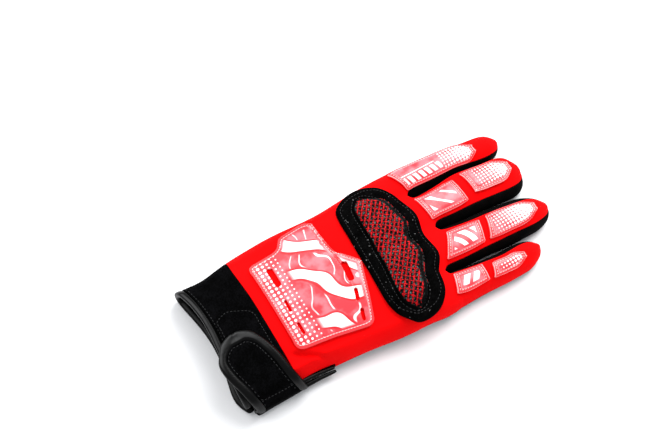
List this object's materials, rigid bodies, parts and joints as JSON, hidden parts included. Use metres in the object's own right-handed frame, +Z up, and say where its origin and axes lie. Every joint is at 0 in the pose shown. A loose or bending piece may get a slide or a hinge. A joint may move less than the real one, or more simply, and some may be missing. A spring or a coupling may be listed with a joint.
{
  "type": "full-finger riding glove, right hand",
  "caption": "Full-finger riding glove lying palm down, thumb folded under, with moulded knuckle guard, vinyl patches, fourchettes and a strapped cuff.",
  "frame": {"origin": "middle of the glove's underside, on the table", "axes": "+X from the mouth of the cuff to the fingertips, +Y to the thumb side, +Z up out of the back of the hand"},
  "size_m": [0.2504, 0.1078, 0.0357],
  "materials": {
    "red_cloth": "smooth stretch knit, low sheen",
    "black_palm": "matte synthetic leather",
    "black_side_cloth": "matte stretch knit",
    "black_neoprene": "matte brushed neoprene",
    "binding_tape": "satin woven binding tape",
    "black_suede": "napped synthetic suede over foam",
    "red_mesh": "red and black woven mesh over moulded foam",
    "pink_vinyl": "printed soft vinyl, low gloss"
  },
  "bodies": {
    "root": {"back_panel": "red_cloth", "cuff_back": "black_neoprene", "cuff_palm": "black_neoprene", "fourchette_index_middle": "black_side_cloth", "fourchette_middle_ring": "black_side_cloth", "fourchette_ring_little": "black_side_cloth", "hand_patch": "pink_vinyl", "index_patch": "pink_vinyl", "knuckle_guard": "red_mesh", "knuckle_surround": "black_suede", "little_base_patch": "pink_vinyl", "little_tip_patch": "pink_vinyl", "loop_pad": "black_neoprene", "middle_base_patch": "pink_vinyl", "middle_tip_patch": "pink_vinyl", "mouth_binding": "binding_tape", "palm_panel": "black_palm", "ring_base_patch": "pink_vinyl", "ring_tip_patch": "pink_vinyl", "slit_binding_back": "binding_tape", "slit_binding_palm": "binding_tape", "strap": "black_neoprene", "strap_binding": "binding_tape", "thumb": "black_palm"}
  },
  "joints": []
}
